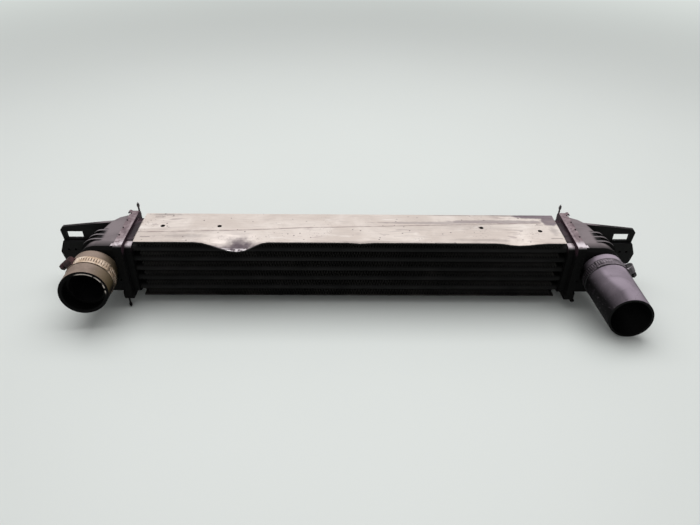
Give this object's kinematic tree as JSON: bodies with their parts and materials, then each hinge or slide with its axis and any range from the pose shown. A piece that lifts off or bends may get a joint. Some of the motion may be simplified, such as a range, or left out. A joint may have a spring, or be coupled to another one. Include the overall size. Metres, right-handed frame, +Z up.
{
  "type": "intercooler",
  "caption": "Aluminium tube-and-fin charge-air cooler with crimped plastic end tanks, front-facing spigots, mounting lugs and cut hose stubs.",
  "frame": {"origin": "middle of the bottom side plate's underside", "axes": "+X along the tubes towards the right end, +Y to the back, away from the spigots' mouths, +Z up from the bottom side plate"},
  "size_m": [0.7618, 0.1465, 0.1035],
  "materials": {
    "core_aluminium": "dull, dusty",
    "dirty_fins": "dull, dark with road dirt",
    "plate_aluminium": "dull, stained",
    "header_aluminium": "dull, grimy",
    "gasket_rubber": "matte",
    "tank_plastic": "matte, dusty on top",
    "left_hose_rubber": "matte, worn",
    "right_hose_rubber": "satin",
    "left_band_steel": "dull, tarnished",
    "right_band_steel": "dull",
    "screw_steel": "satin"
  },
  "bodies": {
    "root": {"tube_1": "core_aluminium", "tube_2": "core_aluminium", "tube_3": "core_aluminium", "tube_4": "core_aluminium", "tube_5": "core_aluminium", "turbulator_1": "core_aluminium", "turbulator_2": "core_aluminium", "turbulator_3": "core_aluminium", "turbulator_4": "core_aluminium", "turbulator_5": "core_aluminium", "fin_row_1": "dirty_fins", "fin_row_2": "dirty_fins", "fin_row_3": "dirty_fins", "fin_row_4": "dirty_fins", "fin_row_5": "dirty_fins", "fin_row_6": "dirty_fins", "top_side_plate": "plate_aluminium", "bottom_side_plate": "plate_aluminium", "left_header": "header_aluminium", "left_gasket": "gasket_rubber", "left_tank": "tank_plastic", "left_hose": "left_hose_rubber", "left_clamp_band": "left_band_steel", "left_clamp_housing": "left_band_steel", "left_clamp_screw": "screw_steel", "right_header": "header_aluminium", "right_gasket": "gasket_rubber", "right_tank": "tank_plastic", "right_hose": "right_hose_rubber", "right_clamp_band": "right_band_steel", "right_clamp_housing": "right_band_steel", "right_clamp_screw": "screw_steel"}
  },
  "joints": []
}
